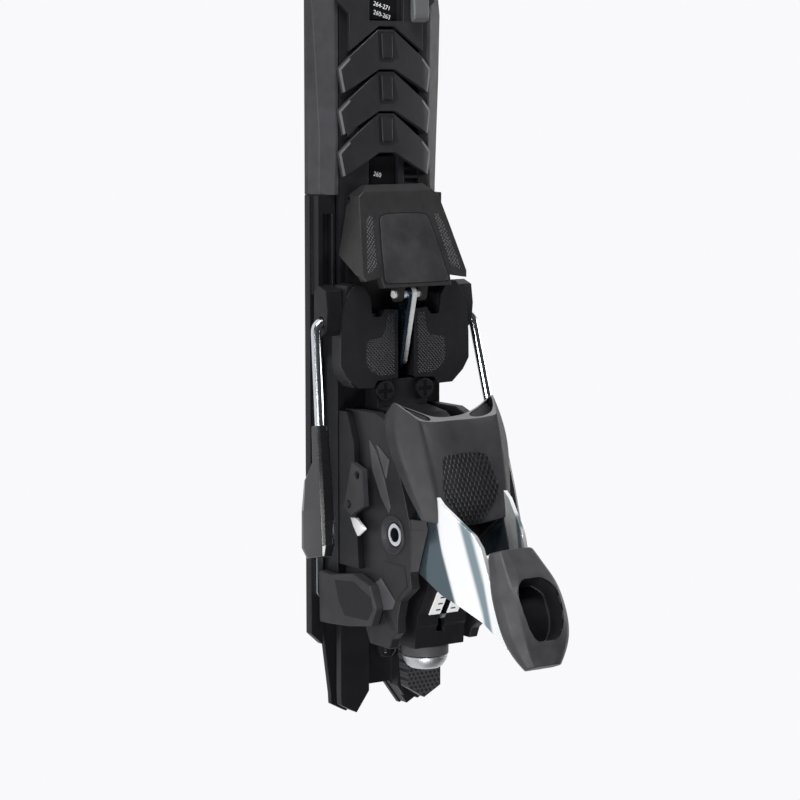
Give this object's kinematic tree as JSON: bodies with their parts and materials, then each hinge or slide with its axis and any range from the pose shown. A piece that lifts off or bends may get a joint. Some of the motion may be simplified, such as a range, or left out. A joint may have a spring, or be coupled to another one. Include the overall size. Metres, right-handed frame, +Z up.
{
  "type": "alpine heel binding with ski brake on a track plate",
  "caption": "Heel unit of a ski binding with cup, release lever, spring housing, pedal and brake arms, sliding on a low track plate.",
  "frame": {"origin": "on the flat underside of the base plate, on its centre line, below the brake's shaft", "axes": "+X to the toe of the ski along the plate, +Y to the left, +Z up from the ski"},
  "size_m": [0.3446, 0.114, 0.1416],
  "materials": {
    "black_plastic": "satin, fine grain",
    "dark_plastic": "matt, dark",
    "gloss_black": "glossy",
    "rubber": "matt",
    "polished_steel": "polished",
    "zinc_steel": "zinc plated",
    "white_plastic": "matt white",
    "grey_plastic": "satin grey"
  },
  "bodies": {
    "track": {"base_plate": "dark_plastic", "guide_rail": "black_plastic", "rack_strip": "black_plastic", "front_fairing_left": "black_plastic", "front_fairing_right": "black_plastic", "chevron_cover_1": "black_plastic", "chevron_cover_2": "black_plastic", "chevron_cover_3": "black_plastic", "front_cover": "black_plastic", "side_strip_left": "dark_plastic", "side_strip_right": "dark_plastic", "front_scale": "gloss_black", "heel_scale": "gloss_black", "track_bar_left": "polished_steel", "track_bar_right": "polished_steel", "plate_screw_1": "zinc_steel", "plate_screw_2": "zinc_steel"},
    "front_hook": {"front_lock_hook": "grey_plastic"},
    "carriage": {"heel_carriage": "black_plastic", "front_shell_left": "black_plastic", "front_shell_right": "black_plastic", "shell_screw_left": "dark_plastic", "shell_screw_right": "dark_plastic", "heel_housing": "black_plastic", "housing_cheek_left": "black_plastic", "housing_cheek_right": "black_plastic", "side_block_left": "dark_plastic", "side_block_right": "dark_plastic", "rear_guard_left": "black_plastic", "rear_guard_right": "black_plastic", "side_lever_pin": "dark_plastic", "indicator_tab": "white_plastic", "scale_window": "white_plastic", "pivot_axle": "polished_steel", "release_spring": "zinc_steel", "spring_plunger": "zinc_steel", "brake_bearing_left": "dark_plastic", "brake_bearing_right": "dark_plastic", "pedal_pin": "zinc_steel", "lock_lever_pin": "zinc_steel"},
    "side_lever": {"side_lever": "dark_plastic"},
    "adjust_worm": {"adjust_worm": "dark_plastic"},
    "lock_lever": {"lock_lever": "black_plastic"},
    "spring_nut": {"spring_nut": "zinc_steel"},
    "release_screw": {"release_screw": "zinc_steel"},
    "heel_cup": {"heel_cup": "black_plastic", "cup_pad": "rubber"},
    "heel_lever": {"lever_fork": "polished_steel", "lever_cap": "black_plastic"},
    "brake_pedal": {"brake_pedal": "black_plastic", "pedal_panel": "rubber", "link_pin": "polished_steel"},
    "brake_arms": {"brake_shaft": "zinc_steel", "brake_wire_left": "polished_steel", "brake_wire_right": "polished_steel", "brake_claw_left": "gloss_black", "brake_claw_right": "gloss_black"},
    "brake_link": {"link_rod": "polished_steel", "link_strip": "zinc_steel"}
  },
  "joints": [
    {"name": "length_adjust", "type": "slide", "parent": "track", "child": "carriage", "axis": [1, 0, 0], "range_m": [-0.03, 0.002]},
    {"name": "front_hook_lift", "type": "hinge", "parent": "track", "child": "front_hook", "pos_m": [0.15, -0.017, 0.0172], "axis": [0, 1, 0], "range_deg": [0, 12]},
    {"name": "side_lever_swing", "type": "hinge", "parent": "carriage", "child": "side_lever", "pos_m": [-0.0865, 0, 0.0305], "axis": [0, 1, 0], "range_deg": [0, 14]},
    {"name": "adjust_worm_turn", "type": "hinge", "parent": "carriage", "child": "adjust_worm", "pos_m": [-0.165, 0, 0.0136], "axis": [1, 0, 0], "range_deg": [-360, 360]},
    {"name": "lock_lever_lift", "type": "hinge", "parent": "carriage", "child": "lock_lever", "pos_m": [-0.16, 0, 0.025], "axis": [0, 1, 0], "range_deg": [0, 30], "stiffness_Nm_per_rad": 0.05},
    {"name": "release_screw_turn", "type": "hinge", "parent": "carriage", "child": "release_screw", "pos_m": [-0.1646, 0, 0.0467], "axis": [1, 0, 0], "range_deg": [-360, 360]},
    {"name": "spring_nut_travel", "type": "slide", "parent": "carriage", "child": "spring_nut", "axis": [1, 0, 0], "range_m": [-0.0025, 0.0025]},
    {"name": "heel_cup_pivot", "type": "hinge", "parent": "carriage", "child": "heel_cup", "pos_m": [-0.098, 0, 0.057], "axis": [0, 1, 0], "range_deg": [0, 16]},
    {"name": "heel_lever_pivot", "type": "hinge", "parent": "carriage", "child": "heel_lever", "pos_m": [-0.098, 0, 0.057], "axis": [0, 1, 0], "range_deg": [0, 24]},
    {"name": "brake_pedal_hinge", "type": "hinge", "parent": "carriage", "child": "brake_pedal", "pos_m": [0.054, 0, 0.0164], "axis": [0, 1, 0], "range_deg": [-4, 24]},
    {"name": "brake_arms_pivot", "type": "hinge", "parent": "carriage", "child": "brake_arms", "pos_m": [-0.0017, 0, 0.022], "axis": [0, 1, 0], "range_deg": [-63, 11]},
    {"name": "brake_link_swing", "type": "hinge", "parent": "brake_pedal", "child": "brake_link", "pos_m": [0.0105, 0, 0.0334], "axis": [0, 1, 0], "range_deg": [-52, 9]}
  ],
  "couplings": [
    {"joint": "spring_nut_travel", "follows": "release_screw_turn", "m_per_rad": 0.0003581},
    {"joint": "heel_lever_pivot", "follows": "heel_cup_pivot", "ratio": 1.5},
    {"joint": "brake_arms_pivot", "follows": "brake_pedal_hinge", "ratio": -2.6},
    {"joint": "brake_link_swing", "follows": "brake_pedal_hinge", "ratio": -2.15}
  ]
}
